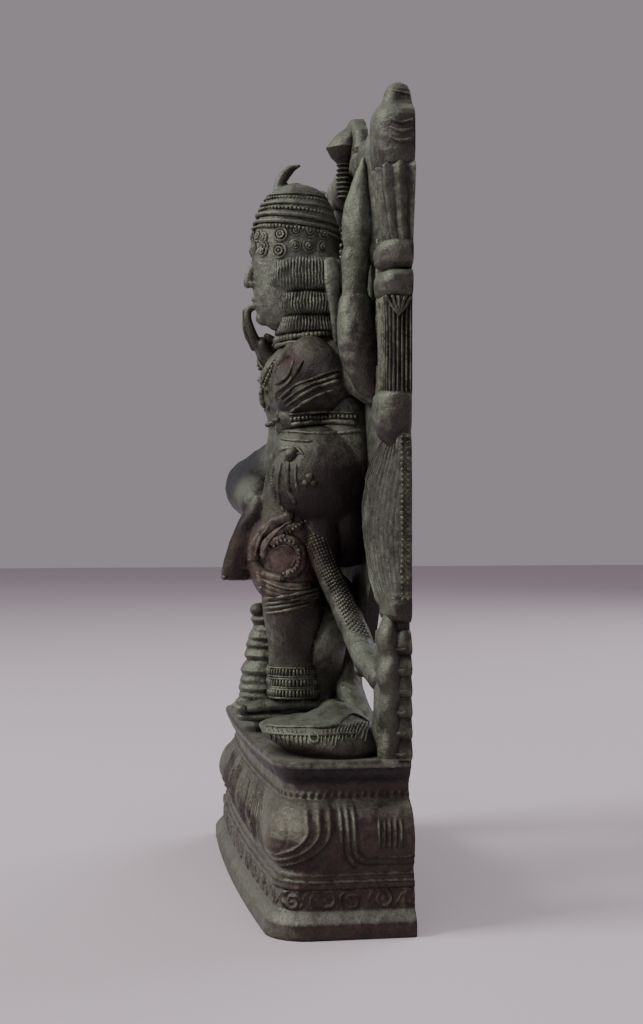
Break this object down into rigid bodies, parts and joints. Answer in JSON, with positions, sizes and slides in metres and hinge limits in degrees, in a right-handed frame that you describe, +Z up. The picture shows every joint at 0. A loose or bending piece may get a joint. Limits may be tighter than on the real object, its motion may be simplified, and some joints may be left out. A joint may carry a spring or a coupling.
{
  "type": "dancing deity statuette",
  "caption": "Small cast brass dancing deity with raised arms, in an openwork pillared frame on a lotus petal plinth.",
  "frame": {"origin": "middle of the flat underside of the plinth", "axes": "+Z up, the figure faces -Y, +X is the figure's own left, the flat back of the casting is at +Y"},
  "size_m": [0.164, 0.0483, 0.2505],
  "materials": {
    "bronze": "dark brown patina with grey-green bloom"
  },
  "bodies": {
    "root": {"shiva_statue": "bronze"}
  },
  "joints": []
}
